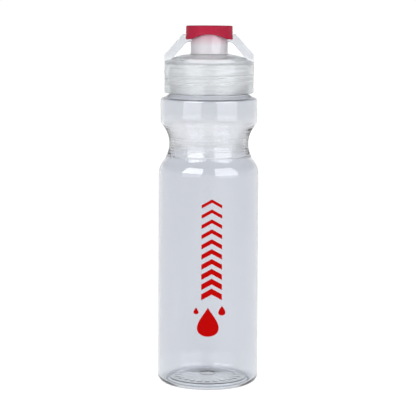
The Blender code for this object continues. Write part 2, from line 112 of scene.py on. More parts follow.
# Thread, outside the neck and inside the lid
THREAD_PITCH = 0.0044
THREAD_TURNS = 2.0
THREAD_DEPTH = 0.0015
THREAD_ROOT = 0.0017
THREAD_CREST = 0.0009
THREAD_CLEARANCE = 0.00045
THREAD_TOP_DROP = 0.0033  # from the lip to the middle of the ridge at its top end
THREAD_FADE = math.radians(24)  # over which a ridge rises from its wall
FIT = 0.0003  # between pieces that don't touch

# Lid
SKIRT_WALL = 0.0018
SKIRT_ROUND = 0.0004
RIM_PROUD = 0.00025  # how far the lid's rim stands out from its skirt
RIM_HEIGHT = 0.0053
SKIRT_INNER = NECK_RADIUS + THREAD_DEPTH + THREAD_CLEARANCE
SKIRT_OUTER = SKIRT_INNER + SKIRT_WALL
RIM_RADIUS = SKIRT_OUTER + RIM_PROUD
CEILING = SEAL_HIGH.z + FIT
ROOF_DROP = 0.0008  # from the ceiling over the seal down to the foot of the roof's dome
ROOF_BASE = CEILING - ROOF_DROP
ROOF_RISE = 0.00943
ROOF_WALL = 0.0018
ROOF_ROUND = 0.0009
LEDGE_WIDTH = 0.0046  # of the flat ring that presses on the seal
LEDGE_RADIUS = -SEAL_LOW.x - LEDGE_WIDTH
TUBE_RADIUS = 0.01343
TUBE_WALL = 0.0016
TUBE_BORE = TUBE_RADIUS - TUBE_WALL
TUBE_FOOT = 0.0030  # of the tube's inner end over the roof's foot
TUBE_LOW = ROOF_BASE + TUBE_FOOT
TUBE_ROUND = 0.0005

# Finger arms: from a foot in the roof to an elbow, then in to the tube, with an open loop below the web
FOOT_HEIGHT = 0.0022  # both over the roof's foot
ELBOW_HEIGHT = 0.0072
WEB_DROP = 0.0034  # from the tube's top down to the web's
WEB_HEIGHT = 0.0054
ARM_FOOT = ROOF_BASE + FOOT_HEIGHT
ARM_ELBOW = ROOF_BASE + ELBOW_HEIGHT
ARM_TOP = TUBE_TOP - WEB_DROP
WEB_LOW = ARM_TOP - WEB_HEIGHT
ARM_THICKNESS = 0.0060
ARM_REACH_IN = 0.0058  # from the tube out to the arm's upper corner
ARM_FOOT_HALF_WIDTH = 0.0065
ARM_TOP_HALF_WIDTH = 0.0040
ARM_FOOT_DEPTH = 0.0024
ELBOW_ROUND = 0.0015
CORNER_ROUND = 0.0012
LOOP_ROUND = 0.0050
ARM_EDGE_ROUND = 0.0007
ARM_EDGE_ROWS = 4
ARM_EDGE_PROFILE = 0.5  # a quarter circle
ARM_EDGE_ANGLE = math.radians(60)  # edges that turn more than this are rounded

# Pull cap
CAP_WALL = 0.0015
CAP_RADIUS = 0.0168
CAP_SPREAD = 0.0012  # how much wider the cap is at its foot
CAP_HEIGHT = 0.0098
CAP_LOW = CAP_TOP - CAP_HEIGHT
CAP_PLATE = 0.0022
PLATE_LOW = CAP_TOP - CAP_PLATE
CAP_ROUND = 0.0008
FLARE_HEIGHT = 0.0054
FLARE_STEP = 0.0006
ARCH_RISE = 0.0040
ARCH_SIDE = 0.0039  # from the cap's side to where its arch starts
ARCH_SINK = 0.0002
ARCH_SOFTNESS = 0.0005  # over which an arch blends into the straight edge
ARCH_SHARE = 0.9  # of the radius, past which there is no arch
NOTCH_CLEARANCE = 0.0004
NOTCH_BLEND = 0.0009
LIP_ROUND = 0.0005
SLEEVE_CLEARANCE = 0.00035
SLEEVE_RADIUS = TUBE_BORE - SLEEVE_CLEARANCE
SLEEVE_WALL = 0.0014
SLEEVE_LOW = CAP_LOW_CORNER.z
HOLE_RADIUS = 0.0042
HOLE_STEP = 0.0004
HOLE_ROUND = 0.0003
DISH_RADIUS = 0.0100
DISH_DEPTH = 0.0008
DISH_ROUND = 0.0014

# Print: a column of chevrons over three drops, in one colour
INK_GAP = 0.00002
INK_THICKNESS = 0.00004
INK_STRIP = 0.0010  # width of the strips that bend round the body
CHEVRONS = 10
CHEVRON_LOW = 0.0665
CHEVRON_HIGH = 0.1390
CHEVRON_WIDTH = 0.0150
CHEVRON_RISE = 0.0042
CHEVRON_THICK = 0.0044  # the lowest one; they thin out upwards
CHEVRON_THIN = 0.0024
CHEVRON_SHIFT = 0.0026  # from the middle of the front
DROPS = (  # middle across, middle up, height
    (0.0000, 0.0508, 0.0212),
    (0.0102, 0.0590, 0.0072),
    (-0.0086, 0.0588, 0.0050),
)
DROP_WIDTH = 0.53  # half of a drop's spread, as a share of its height
DROP_TIP = 1.5  # how sharp a drop's tip is: 0 makes an ellipse
DROP_POINTS = 48

# Tints by height: the clear wall's own blue-grey, with painted shade and painted light. It is darkest in
# its foot as a painted dark rim, and lighter just above the foot, in the waist and in the neck as painted
# light
CLEAR_TINT_PAINTED_SHADE_AND_LIGHT = (
    (0.0, (0.56, 0.60, 0.65, 1)),
    (0.004, (0.80, 0.82, 0.85, 1)),
    (0.010, (0.80, 0.82, 0.85, 1)),
    (0.018, (0.755, 0.770, 0.805, 1)),
    (0.162, (0.755, 0.770, 0.805, 1)),
    (0.175, (0.86, 0.87, 0.89, 1)),
    (0.190, (0.86, 0.87, 0.89, 1)),
    (0.1955, (0.755, 0.770, 0.80, 1)),
    (0.2140, (0.755, 0.770, 0.80, 1)),
    (0.2160, (0.98, 0.985, 0.99, 1)),
    (LIP, (0.98, 0.985, 0.99, 1)),
)
CAP_RED_PAINTED_GLOW = (  # the tube's own grey below, and the cap's red light painted onto its top as a painted glow
    (0.2465, (0.78, 0.74, 0.765, 1)),
    (0.2540, (0.68, 0.35, 0.43, 1)),
)
TUBE_HAZE = (  # how much light the tube lets through
    (0.2250, (0.25, 0.25, 0.25, 1)),
    (0.2550, (0.2, 0.2, 0.2, 1)),
)
WHITE = (1, 1, 1, 1)
LID_CLARITY = 0.80  # how much the rest of the lid lets through
ARM_TINT = (0.77, 0.775, 0.80, 1)
ROOF_BLEND = (1.02, 1.10)  # where that tint starts over the roof and is full, in the roof's own size
NOISE_RANGE = (0.3, 0.7)  # the values that most of a noise lies between
TINT_RANGE = (0.35, 0.65)

# Studio: brightness of the surroundings by the rise of their direction, and straight below
WORLD_GREYS = ((-0.2, 0.9), (-0.03, 1.02), (0.13, 1.02), (0.28, 0.60), (0.7, 0.36))
WORLD_TINT = (1, 1.01, 1.03)
WORLD_LOWEST = (0.9, 0.9, 0.91, 1)
FLOOR_RADIUS = 30.0
FLOOR_SEGMENTS = 96
FLOOR_GREY = (0.2, 0.2, 0.2, 1)
FLOOR_GLOW = 0.95
FLOOR_ROUGHNESS = 0.9
SOFTBOXES = (  # degrees from the camera, distance, width, low edge, height, radiance
    ("left_low", -40, 1.7, 1.4, 0.070, 0.58, 1.15),
    ("left_high", -40, 1.7, 1.6, 0.65, 1.75, 5.6),
    ("right_low", 45, 1.7, 1.6, 0.040, 0.26, 1.25),
    ("right_high", 44, 1.7, 1.8, 0.30, 2.15, 3.8),
)
FRONT_FILL = ("front_fill", 0, 2.4, 1.4, 0.1, 1.4, 5.0)

# Camera: a little above the cap's top, 1.16 m in front of the bottle
CAMERA_PLACE = (0, -1.160, 0.275)
CAMERA_AIM = (-0.0003, 0, 0.1283)
CAMERA_ROLL = math.radians(-0.3)
CAMERA_LENS = 138.5
CAMERA_SENSOR = 36
CAMERA_CLIP = (0.05, 100)

# Fineness
BODY_SEGMENTS = DIAMONDS * 4
LID_SEGMENTS = 240
CAP_SEGMENTS = 384
ROOF_ROWS = 26
CEILING_ROWS = 12
GRIP_STEP = DIAMOND_HEIGHT / 4
WALL_STEP = 0.0025
THREAD_STEP = 0.0003
ARC_STEP = math.radians(6)
CAP_ARC_STEP = math.radians(9)
ARM_ARC_STEP = math.radians(12)
ROOF_ARC_STEP = math.radians(15)
EDGE_ARC_STEP = math.radians(20)
SHARP_ANGLE = math.radians(40)
MERGE = 0.00001


# Outlines: lists of (radius, height)


def rounded(corners, arc_step=ARC_STEP):
    """The outline through corners of (x, z, rounding), each rounding limited by the straights beside it."""
    points = [Vector(corner[:2]) for corner in corners]
    turns = [0.0] * len(points)
    reach = [0.0] * len(points)
    for i in range(1, len(points) - 1):
        turns[i] = (points[i] - points[i - 1]).angle_signed(points[i + 1] - points[i])
        reach[i] = corners[i][2] * math.tan(abs(turns[i]) / 2)
    share = [1.0] * len(points)
    for i in range(len(points) - 1):
        straight = (points[i + 1] - points[i]).length
        asked = reach[i] + reach[i + 1]
        if asked > straight:
            share[i] = min(share[i], straight / asked)
            share[i + 1] = min(share[i + 1], straight / asked)
    outline = []
    for i, point in enumerate(points):
        if reach[i] == 0:
            outline.append(point)
            continue
        length = reach[i] * share[i]
        start = point + (points[i - 1] - point).normalized() * length
        end = point + (points[i + 1] - point).normalized() * length
        outline += arc(start, end, point, abs(turns[i]), arc_step)
    return without_repeats(outline)


def without_repeats(points):
    kept = []
    for point in points:
        if not kept or (Vector(point) - Vector(kept[-1])).length > MERGE:
            kept.append(point)
    return [tuple(point) for point in kept]


def arc(start, end, corner, turn, arc_step):
    """Points on the circle that touches both sides of a corner at start and end."""
    middle = (start + end) / 2
    inward = (middle - corner).normalized()
    radius = (end - start).length / 2 / math.sin(turn / 2)
    centre = middle + inward * radius * math.cos(turn / 2)
    count = max(2, math.ceil(turn / arc_step))
    first = start - centre
    sweep = first.angle_signed(end - centre)
    return [centre + Matrix.Rotation(-sweep * k / count, 2) @ first for k in range(count + 1)]


def inset(outline, thickness):
    """The outline, which runs down, moved inwards by the thickness at each height."""
    points = [Vector(point) for point in outline]
    moved = []
    for i, point in enumerate(points):
        before = (point - points[i - 1]).normalized() if i else None
        after = (points[i + 1] - point).normalized() if i + 1 < len(points) else None
        sides = [Vector((way.y, -way.x)) for way in (before, after) if way is not None]
        normal = sum(sides, Vector((0, 0))).normalized()
        moved.append(tuple(point + normal * thickness(point.y) / normal.dot(sides[0])))
    return moved


def refined(outline, low, high, step):
    """The outline with rows every step where it lies between two heights."""
    made = []
    for start, end in zip(outline, outline[1:]):
        made.append(start)
        top, bottom = max(start[1], end[1]), min(start[1], end[1])
        if bottom >= high or top <= low:
            continue
        length = (Vector(end) - Vector(start)).length
        count = max(1, round(length / step))
        for k in range(1, count):
            made.append(tuple(Vector(start).lerp(Vector(end), k / count)))
    return made + [outline[-1]]


def resampled(outline, low, high, step):
    """The outline with its rows between two heights replaced by rows at every multiple of step."""
    above = [p for p in outline if p[1] > high]
    below = [p for p in outline if p[1] < low]
    rows = []
    for k in range(math.floor(high / step), math.ceil(low / step) - 1, -1):
        height = k * step
        rows.append((radius_at(outline, height), height))
    return above + rows + below


def radius_at(outline, height):
    for (r0, z0), (r1, z1) in zip(outline, outline[1:]):
        if z1 <= height <= z0 and z0 > z1:
            return r0 + (r1 - r0) * (z0 - height) / (z0 - z1)
    return outline[-1][0]


def smooth(low, high, value):
    """0 below low, 1 above high and a smooth rise between."""
    share = min(1.0, max(0.0, (value - low) / (high - low)))
    return share * share * (3 - 2 * share)


# Objects


def new_object(name, data):
    obj = bpy.data.objects.new(name, data)
    bpy.context.scene.collection.objects.link(obj)
    return obj


def from_bmesh(name, bm):
    mesh = bpy.data.meshes.new(name)
    bm.to_mesh(mesh)
    bm.free()
    return new_object(name, mesh)


def lathe(name, outline, segments, closed, shape):
    """An outline turned about Z. shape(row, angle, radius, height) moves a point on its radius."""
    bm = bmesh.new()
    rings = []
    for row, (radius, height) in enumerate(outline):
        if radius < MERGE:
            rings.append([bm.verts.new((0, 0, height))])
            continue
        ring = []
        for k in range(segments):
            angle = math.tau * k / segments
            r, z = shape(row, angle, radius, height)
            ring.append(bm.verts.new((r * math.cos(angle), r * math.sin(angle), z)))
        rings.append(ring)
    pairs = list(zip(rings, rings[1:]))
    if closed:
        pairs.append((rings[-1], rings[0]))
    for upper, lower in pairs:
        for k in range(segments):
            a, b = upper[k % len(upper)], upper[(k + 1) % len(upper)]
            c, d = lower[(k + 1) % len(lower)], lower[k % len(lower)]
            corners = [v for i, v in enumerate((d, c, b, a)) if v not in (d, c, b, a)[:i]]
            bm.faces.new(corners)
    fold(bm)
    return from_bmesh(name, bm)


def fold(bm):
    """Splits every bent quad along the diagonal whose ends are most alike in radius.

    A groove or a ridge that crosses the quad runs along that diagonal.
    """
    for face in bm.faces[:]:
        if len(face.verts) < 4:
            continue
        radii = [vert.co.xy.length for vert in face.verts]
        first, second = abs(radii[0] - radii[2]), abs(radii[1] - radii[3])
        if abs(first - second) < MERGE:
            continue
        start = 0 if first < second else 1
        bmesh.utils.face_split(face, face.verts[start], face.verts[start + 2])


def ridge(angle, height, top):
    """How far the screw ridge stands out from its wall at a place on it."""
    turn = angle / math.tau
    best = 0.0
    for lap in range(math.ceil(THREAD_TURNS) + 1):
        along = turn + lap
        if not 0 <= along <= THREAD_TURNS:
            continue
        middle = top - THREAD_PITCH * (THREAD_TURNS - along)
        off = abs(height - middle)
        rise = 1 - smooth(THREAD_CREST / 2, THREAD_ROOT / 2, off)
        ends = min(along, THREAD_TURNS - along) * math.tau / THREAD_FADE
        best = max(best, rise * min(1.0, ends))
    return THREAD_DEPTH * best


def apply_modifiers(obj):
    evaluated = obj.evaluated_get(bpy.context.evaluated_depsgraph_get())
    mesh = bpy.data.meshes.new_from_object(evaluated)
    obj.modifiers.clear()
    obj.data = mesh


def shade(obj):
    obj.data.shade_smooth()
    obj.data.set_sharp_from_angle(angle=SHARP_ANGLE)
    return obj


def dress(obj, material, body, slot, *nodes):
    """Gives a piece its material and its body, and hides the imported nodes that it stands for. The slot is
    not used.
    """
    obj.data.materials.clear()
    obj.data.materials.append(material)
    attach(obj, body)
    if nodes:
        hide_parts(*nodes)
    return obj


# Materials


def principled(name, **settings):
    """A Principled material and its node tree. Settings are socket names with _ for a space."""
    material = bpy.data.materials.new(name)
    material.use_nodes = True
    tree = material.node_tree
    shader = tree.nodes["Principled BSDF"]
    for key, value in settings.items():
        shader.inputs[key.replace("_", " ")].default_value = value
    return material, tree, shader


def colour(red, green, blue):
    return (red, green, blue, 1)


def noise(tree, scale, stretch=(1, 1, 1), detail=3.0):
    """Noise in object space, in cycles a metre."""
    place = tree.nodes.new("ShaderNodeTexCoord")
    mapping = tree.nodes.new("ShaderNodeMapping")
    mapping.inputs["Scale"].default_value = stretch
    texture = tree.nodes.new("ShaderNodeTexNoise")
    texture.inputs["Scale"].default_value = scale
    texture.inputs["Detail"].default_value = detail
    tree.links.new(place.outputs["Object"], mapping.inputs["Vector"])
    tree.links.new(mapping.outputs["Vector"], texture.inputs["Vector"])
    return texture.outputs["Fac"]


def spread(tree, value, low, high):
    """Maps a noise's middle range to low and high."""
    ranged = tree.nodes.new("ShaderNodeMapRange")
    ranged.inputs["From Min"].default_value = NOISE_RANGE[0]
    ranged.inputs["From Max"].default_value = NOISE_RANGE[1]
    ranged.inputs["To Min"].default_value = low
    ranged.inputs["To Max"].default_value = high
    tree.links.new(value, ranged.inputs["Value"])
    return ranged.outputs["Result"]


def tint(tree, value, first, second):
    """A colour that goes from first to second with a noise."""
    ramp = tree.nodes.new("ShaderNodeValToRGB")
    ramp.color_ramp.elements[0].position = TINT_RANGE[0]
    ramp.color_ramp.elements[0].color = first
    ramp.color_ramp.elements[1].position = TINT_RANGE[1]
    ramp.color_ramp.elements[1].color = second
    tree.links.new(value, ramp.inputs["Fac"])
    return ramp.outputs["Color"]


def by_height(tree, stops):
    """A colour from an object's own height, for stops of (height, colour)."""
    place = tree.nodes.new("ShaderNodeTexCoord")
    parts = tree.nodes.new("ShaderNodeSeparateXYZ")
    ranged = tree.nodes.new("ShaderNodeMapRange")
    ramp = tree.nodes.new("ShaderNodeValToRGB")
    low, high = stops[0][0], stops[-1][0]
    ranged.inputs["From Min"].default_value = low
    ranged.inputs["From Max"].default_value = high
    elements = ramp.color_ramp.elements
    elements[0].color = stops[0][1]
    elements[1].color = stops[-1][1]
    for height, shade_there in stops[1:-1]:
        elements.new((height - low) / (high - low)).color = shade_there
    tree.links.new(place.outputs["Object"], parts.inputs["Vector"])
    tree.links.new(parts.outputs["Z"], ranged.inputs["Value"])
    tree.links.new(ranged.outputs["Result"], ramp.inputs["Fac"])
    return ramp.outputs["Color"]


def inside_tube(tree, inner):
    """A mix of the inner value in the lid's tube and another outside it, and the socket of the other."""
    place = tree.nodes.new("ShaderNodeTexCoord")
    parts = tree.nodes.new("ShaderNodeSeparateXYZ")
    flat = tree.nodes.new("ShaderNodeCombineXYZ")
    distance = tree.nodes.new("ShaderNodeVectorMath")
    distance.operation = "LENGTH"
    outside = tree.nodes.new("ShaderNodeMath")
    outside.operation = "GREATER_THAN"
    outside.inputs[1].default_value = TUBE_RADIUS + FIT
    choice = tree.nodes.new("ShaderNodeMix")
    choice.data_type = "RGBA"
    tree.links.new(place.outputs["Object"], parts.inputs["Vector"])
    tree.links.new(parts.outputs["X"], flat.inputs["X"])
    tree.links.new(parts.outputs["Y"], flat.inputs["Y"])
    tree.links.new(flat.outputs["Vector"], distance.inputs[0])
    tree.links.new(distance.outputs["Value"], outside.inputs[0])
    tree.links.new(outside.outputs["Value"], choice.inputs["Factor"])
    tree.links.new(inner, choice.inputs["A"])
    return choice.outputs["Result"], choice.inputs["B"]


def above_roof(tree, tint_there):
    """White on and under the lid's roof, which is half an ellipsoid, and a tint above it."""
    place = tree.nodes.new("ShaderNodeTexCoord")
    mapping = tree.nodes.new("ShaderNodeMapping")
    mapping.inputs["Scale"].default_value = (1 / RIM_RADIUS, 1 / RIM_RADIUS, 1 / ROOF_RISE)
    mapping.inputs["Location"].default_value = (0, 0, -ROOF_BASE / ROOF_RISE)
    distance = tree.nodes.new("ShaderNodeVectorMath")
    distance.operation = "LENGTH"
    outside = tree.nodes.new("ShaderNodeMapRange")
    outside.inputs["From Min"].default_value = ROOF_BLEND[0]
    outside.inputs["From Max"].default_value = ROOF_BLEND[1]
    level = tree.nodes.new("ShaderNodeSeparateXYZ")
    high = tree.nodes.new("ShaderNodeMath")
    high.operation = "GREATER_THAN"
    high.inputs[1].default_value = ROOF_BASE
    both = tree.nodes.new("ShaderNodeMath")
    both.operation = "MULTIPLY"
    choice = tree.nodes.new("ShaderNodeMix")
    choice.data_type = "RGBA"
    choice.inputs["A"].default_value = WHITE
    choice.inputs["B"].default_value = tint_there
    tree.links.new(place.outputs["Object"], mapping.inputs["Vector"])
    tree.links.new(place.outputs["Object"], level.inputs["Vector"])
    tree.links.new(mapping.outputs["Vector"], distance.inputs[0])
    tree.links.new(distance.outputs["Value"], outside.inputs["Value"])
    tree.links.new(level.outputs["Z"], high.inputs[0])
    tree.links.new(outside.outputs["Result"], both.inputs[0])
    tree.links.new(high.outputs["Value"], both.inputs[1])
    tree.links.new(both.outputs["Value"], choice.inputs["Factor"])
    return choice.outputs["Result"]


def product(tree, first, second):
    """Two colours multiplied."""
    mix = tree.nodes.new("ShaderNodeMix")
    mix.data_type = "RGBA"
    mix.blend_type = "MULTIPLY"
    mix.inputs["Factor"].default_value = 1
    tree.links.new(first, mix.inputs["A"])
    tree.links.new(second, mix.inputs["B"])
    return mix.outputs["Result"]


def bumps(tree, shader, *layers):
    """Chains bumps of (height, distance in metres, strength) into the shader's normal."""
    normal = None
    for height, distance, strength in layers:
        bump = tree.nodes.new("ShaderNodeBump")
        bump.inputs["Distance"].default_value = distance
        bump.inputs["Strength"].default_value = strength
        tree.links.new(height, bump.inputs["Height"])
        if normal is not None:
            tree.links.new(normal, bump.inputs["Normal"])
        normal = bump.outputs["Normal"]
    tree.links.new(normal, shader.inputs["Normal"])


def mottled(name, cloud, tints, sheen, roughness, grain, depth, strength, **settings):
    """A material whose tint, roughness and bumps follow noises of cloud, sheen and grain cycles a metre."""
    material, tree, shader = principled(name, **settings)
    tree.links.new(tint(tree, noise(tree, cloud), *tints), shader.inputs["Base Color"])
    tree.links.new(spread(tree, noise(tree, sheen), *roughness), shader.inputs["Roughness"])
    bumps(tree, shader, (noise(tree, grain), depth, strength))
    return material


def clear_plastic():
    material, tree, shader = principled("clear_plastic", Transmission_Weight=1.0, IOR=1.5)
    streaks = noise(tree, scale=30.0, stretch=(1, 1, 0.25))
    drift = tint(tree, streaks, first=colour(0.96, 0.96, 0.965), second=WHITE)
    # the wall's own blue-grey by height, with a painted dark rim at the foot and painted light in the waist
    # and the neck
    depth = by_height(tree, CLEAR_TINT_PAINTED_SHADE_AND_LIGHT)
    tree.links.new(product(tree, drift, depth), shader.inputs["Base Color"])
    sheen = spread(tree, noise(tree, scale=90.0), low=0.02, high=0.06)
    tree.links.new(sheen, shader.inputs["Roughness"])
    swell = noise(tree, scale=28.0, stretch=(1, 1, 0.2), detail=1.0)
    grain = noise(tree, scale=900.0)
    bumps(tree, shader, (swell, 0.0006, 0.2), (grain, 0.00002, 0.3))
    return material


def frosted_plastic():
    material, tree, shader = principled("frosted_plastic", IOR=1.49)
    haze, haze_outside = inside_tube(tree, by_height(tree, TUBE_HAZE))
    haze_outside.default_value = colour(LID_CLARITY, LID_CLARITY, LID_CLARITY)
    tree.links.new(haze, shader.inputs["Transmission Weight"])
    cloud = tint(tree, noise(tree, scale=45.0), colour(0.96, 0.985, 1.0), colour(0.975, 0.99, 1.0))
    # painted glow: the cap's red light painted onto the top of the tube
    painted_cap_glow, glow_outside = inside_tube(tree, by_height(tree, CAP_RED_PAINTED_GLOW))
    tree.links.new(above_roof(tree, ARM_TINT), glow_outside)
    tree.links.new(product(tree, cloud, painted_cap_glow), shader.inputs["Base Color"])
    sheen = spread(tree, noise(tree, scale=160.0), low=0.13, high=0.19)
    tree.links.new(sheen, shader.inputs["Roughness"])
    grain = noise(tree, scale=2600.0, detail=2.0)
    bumps(tree, shader, (grain, 0.00003, 0.3))
    return material


def milky_plastic():
    return mottled(
        "milky_plastic",
        cloud=60.0,
        tints=(colour(0.72, 0.70, 0.73), colour(0.76, 0.74, 0.77)),
        sheen=200.0,
        roughness=(0.35, 0.45),
        grain=2600.0,
        depth=0.00003,
        strength=0.4,
        Subsurface_Weight=0.3,
        Subsurface_Scale=0.003,
        IOR=1.49,
    )


def red_plastic():
    return mottled(
        "red_plastic",
        cloud=70.0,
        tints=(colour(0.39, 0.010, 0.038), colour(0.43, 0.013, 0.046)),
        sheen=220.0,
        roughness=(0.42, 0.52),
        grain=1800.0,
        depth=0.00004,
        strength=0.4,
        Subsurface_Weight=0.25,
        Subsurface_Scale=0.002,
        Subsurface_Radius=(1.0, 0.1, 0.1),
        Specular_IOR_Level=0.08,
    )


def seal_silicone():
    return mottled(
        "seal_silicone",
        cloud=120.0,
        tints=(colour(0.70, 0.71, 0.72), colour(0.76, 0.77, 0.78)),
        sheen=300.0,
        roughness=(0.5, 0.62),
        grain=1500.0,
        depth=0.00004,
        strength=0.4,
        Transmission_Weight=0.2,
    )


def red_ink():
    return mottled(
        "red_ink",
        cloud=500.0,
        tints=(colour(0.43, 0.0005, 0.0005), colour(0.47, 0.001, 0.001)),
        sheen=900.0,
        roughness=(0.3, 0.42),
        grain=3500.0,
        depth=0.00001,
        strength=0.5,
        Specular_IOR_Level=0.02,
    )


# Body


def body_outline():
    """The body's outside from the neck's foot down to the centre of its base."""
    upper_radius = BODY_RADIUS - BODY_TAPER
    vertex = WAIST_RADIUS - WAIST_BEND * (1 / math.cos(FLANK_SLOPE) - 1)
    band_low = WAIST + (BAND_RADIUS - vertex) / math.tan(UPPER_SLOPE)
    lower_top = WAIST - (upper_radius - vertex) / math.tan(FLANK_SLOPE)
    band_top = NECK_FOOT - (BAND_RADIUS - NECK_RADIUS) * math.tan(SHOULDER_SLOPE)
    ring = BODY_RADIUS - BASE_ROUND - RING_WIDTH
    return rounded(
        [
            (NECK_RADIUS, NECK_FOOT + NECK_ROUND, 0),
            (NECK_RADIUS, NECK_FOOT, NECK_ROUND),
            (BAND_RADIUS, band_top, SHOULDER_ROUND),
            (BAND_RADIUS, band_low, BAND_ROUND),
            (vertex, WAIST, WAIST_BEND),
            (upper_radius, lower_top, LOWER_ROUND),
            (BODY_RADIUS, BASE_ROUND, 0),
            (BODY_RADIUS, 0, BASE_ROUND),
            (ring, 0, RING_WIDTH / 4),
            (ring - PUSH_UP_RING / 4, PUSH_UP_RING, PUSH_UP_RING / 3),
            (GATE_RADIUS, PUSH_UP_CENTRE, GATE_DEPTH),
            (GATE_RADIUS - GATE_DEPTH, PUSH_UP_CENTRE - GATE_DEPTH, GATE_DEPTH),
            (0, PUSH_UP_CENTRE - GATE_DEPTH, 0),
        ]
    )


def grip_rise(angle, height):
    """How far the wall is out at a place: 0 on a diamond's flat top and less in the crossing grooves."""
    fade = smooth(0, GRIP_FADE, height - GRIP_LOW) * smooth(0, GRIP_FADE, GRIP_HIGH - height)
    if fade == 0:
        return 0.0
    around = DIAMONDS * angle / math.tau
    along = height / DIAMOND_HEIGHT
    slants = [abs(2 * (t - math.floor(t)) - 1) for t in (around + along, around - along)]
    return DIAMOND_RISE * fade * (min(1.0, DIAMOND_SIDES * min(slants)) - 1)


def rib_drop(angle, radius):
    """How far a rib stands down from the push-up at a place on its underside."""
    side = smooth(-RIB_EDGE, RIB_EDGE, math.cos(RIBS * angle))
    inner_end = smooth(RIB_INNER, RIB_INNER + RIB_FADE, radius)
    outer_end = smooth(-RIB_OUTER, RIB_FADE - RIB_OUTER, -radius)
    return RIB_RISE * side * (inner_end * outer_end)


def with_foot_rows(outline):
    """The outline with closer rows across its push-up."""
    made = []
    for start, end in zip(outline, outline[1:]):
        made.append(start)
        count = round((start[0] - end[0]) / RIB_STEP)
        if start[1] < PUSH_UP_CENTRE and count > 1:
            made += [tuple(Vector(start).lerp(Vector(end), k / count)) for k in range(1, count)]
    return made + [outline[-1]]


def wall_thickness(height):
    return BODY_WALL + BASE_EXTRA * (1 - smooth(0, BASE_THICK_HEIGHT, height))


def make_body():
    bare = refined(body_outline(), BASE_ROUND, NECK_FOOT, WALL_STEP)
    outside = with_foot_rows(resampled(bare, GRIP_LOW, GRIP_HIGH, GRIP_STEP))
    inside = inset(bare, wall_thickness)
    foot = NECK_FOOT + NECK_ROUND + NECK_WALL - BODY_WALL
    inside = [(max(r, 0), z) for r, z in inside if z < NECK_FOOT or r < NECK_RADIUS - NECK_WALL]
    neck = rounded(
        [
            (NECK_RADIUS - NECK_WALL, foot, 0),
            (NECK_RADIUS - NECK_WALL, LIP, NECK_WALL / 3),
            (NECK_RADIUS, LIP, NECK_WALL / 3),
            (NECK_RADIUS, NECK_FOOT + NECK_ROUND, 0),
        ],
        EDGE_ARC_STEP,
    )
    top = LIP - THREAD_TOP_DROP
    bottom = top - THREAD_PITCH * THREAD_TURNS - THREAD_ROOT
    inner_rows = inside[::-1] + neck[: len(neck) // 2]
    thread_rows = refined(neck[len(neck) // 2 :], bottom, top + THREAD_ROOT, THREAD_STEP)
    outline = inner_rows + thread_rows + outside[1:]
    first_outer = len(inner_rows)

    def shape(row, angle, radius, height):
        if row < first_outer:
            return radius, height
        if height > NECK_FOOT:
            return radius + ridge(angle, height, top), height
        if height < PUSH_UP_CENTRE and radius < RIB_OUTER:
            return radius, height - rib_drop(angle, radius)
        return radius + grip_rise(angle, height), height

    body = lathe("clear_body", outline, BODY_SEGMENTS, closed=False, shape=shape)
    return dress(shade(body), clear_plastic(), "bottle", "clear_plastic", "bottle_body")


# Print


def chevron(low, thickness):
    """Outline of a chevron that points up, as (across, up) places on the unrolled wall."""
    half = CHEVRON_WIDTH / 2
    places = [
        (-half, low),
        (0, low + CHEVRON_RISE),
        (half, low),
        (half, low + thickness),
        (0, low + CHEVRON_RISE + thickness),
        (-half, low + thickness),
    ]
    return [(CHEVRON_SHIFT + across, up) for across, up in places]


def drop(across, up, height):
    """Outline of a drop with its tip up."""
    outline = []
    for k in range(DROP_POINTS):
        turn = math.tau * k / DROP_POINTS
        side = DROP_WIDTH * height * math.sin(turn) * math.sin(turn / 2) ** DROP_TIP
        outline.append((across + side, up + height / 2 * math.cos(turn)))
    return outline


def make_print():
    pitch = (CHEVRON_HIGH - CHEVRON_LOW - CHEVRON_RISE - CHEVRON_THIN) / (CHEVRONS - 1)
    shapes = [drop(*place) for place in DROPS]
    for k in range(CHEVRONS):
        share = k / (CHEVRONS - 1)
        thickness = CHEVRON_THICK + (CHEVRON_THIN - CHEVRON_THICK) * share
        shapes.append(chevron(CHEVRON_LOW + k * pitch, thickness))
    bm = bmesh.new()
    for outline in shapes:
        bm.faces.new([bm.verts.new((across, 0, up)) for across, up in outline])
    bmesh.ops.triangulate(bm, faces=bm.faces)
    strips = math.ceil(CHEVRON_WIDTH / INK_STRIP)
    for k in range(-strips, strips + 1):
        everything = bm.verts[:] + bm.edges[:] + bm.faces[:]
        cut = (k * INK_STRIP, 0, 0)
        bmesh.ops.bisect_plane(bm, geom=everything, plane_co=cut, plane_no=(1, 0, 0))
    wall = body_outline()
    for vert in bm.verts:
        radius = radius_at(wall, vert.co.z) + INK_GAP
        angle = vert.co.x / BODY_RADIUS
        vert.co = (radius * math.sin(angle), -radius * math.cos(angle), vert.co.z)
    for face in bm.faces:
        if face.normal.y > 0:
            face.normal_flip()
    ink = from_bmesh("print", bm)
    thick = ink.modifiers.new("thick", "SOLIDIFY")
    thick.thickness = INK_THICKNESS
    thick.offset = 1
    apply_modifiers(ink)
    return dress(shade(ink), red_ink(), "bottle", "clear_plastic")


# Lid


def roof_height(radius, wall=0.0):
    """Height of the roof's dome at a radius, on its outside or a wall's thickness inside it."""
    share = min(1.0, radius / (RIM_RADIUS - wall))
    return ROOF_BASE + (ROOF_RISE - wall) * math.sqrt(1 - share**2)


def roof_outline(start, end, wall, count):
    """Points of the roof between two radii, evenly spaced in angle."""
    full = RIM_RADIUS - wall
    first, last = math.asin(start / full), math.asin(min(1.0, end / full))
    angles = [first + (last - first) * k / count for k in range(count + 1)]
    return [(full * math.sin(a), roof_height(full * math.sin(a), wall)) for a in angles]


